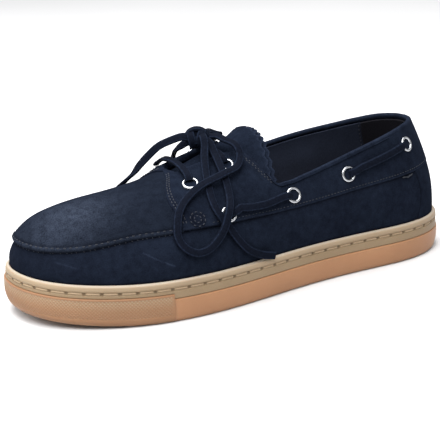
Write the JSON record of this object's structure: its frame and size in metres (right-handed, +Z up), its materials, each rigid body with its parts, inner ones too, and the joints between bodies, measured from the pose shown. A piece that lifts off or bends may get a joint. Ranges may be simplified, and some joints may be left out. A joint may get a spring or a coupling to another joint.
{
  "type": "boat shoe",
  "caption": "Left boat shoe with a moccasin-seamed soft upper, side laces through metal eyelets, a tied bow and a flat rubber cupsole.",
  "frame": {"origin": "centre of the sole's box, on the ground", "axes": "+X towards the toe, +Y towards the outer side of the foot, +Z up"},
  "size_m": [0.299, 0.1064, 0.0987],
  "materials": {
    "gum rubber": "smooth matt gum rubber, finely knurled round the toe",
    "pale rubber": "matt beige rubber with a stitched groove",
    "navy suede": "soft napped suede",
    "navy lining": "smooth matt lining leather",
    "navy lace leather": "soft flat leather with a slight sheen",
    "silver eyelet": "polished"
  },
  "bodies": {
    "root": {"outsole": "gum rubber", "sidewall": "pale rubber", "upper": "navy suede", "tongue": "navy suede", "footbed": "navy lining", "eyelet_front_outer": "silver eyelet", "eyelet_rear_outer": "silver eyelet", "eyelet_side_front_outer": "silver eyelet", "eyelet_side_middle_outer": "silver eyelet", "eyelet_side_back_outer": "silver eyelet", "eyelet_side_heel_outer": "silver eyelet", "eyelet_front_inner": "silver eyelet", "eyelet_rear_inner": "silver eyelet", "eyelet_side_front_inner": "silver eyelet", "eyelet_side_middle_inner": "silver eyelet", "eyelet_side_back_inner": "silver eyelet", "eyelet_side_heel_inner": "silver eyelet", "lace_front": "navy lace leather", "lace_rear": "navy lace leather", "lace_side_front_outer": "navy lace leather", "lace_side_back_outer": "navy lace leather", "lace_side_front_inner": "navy lace leather", "lace_side_back_inner": "navy lace leather", "knot": "navy lace leather", "near_loop": "navy lace leather", "near_end": "navy lace leather", "far_loop": "navy lace leather", "far_end": "navy lace leather"}
  },
  "joints": []
}
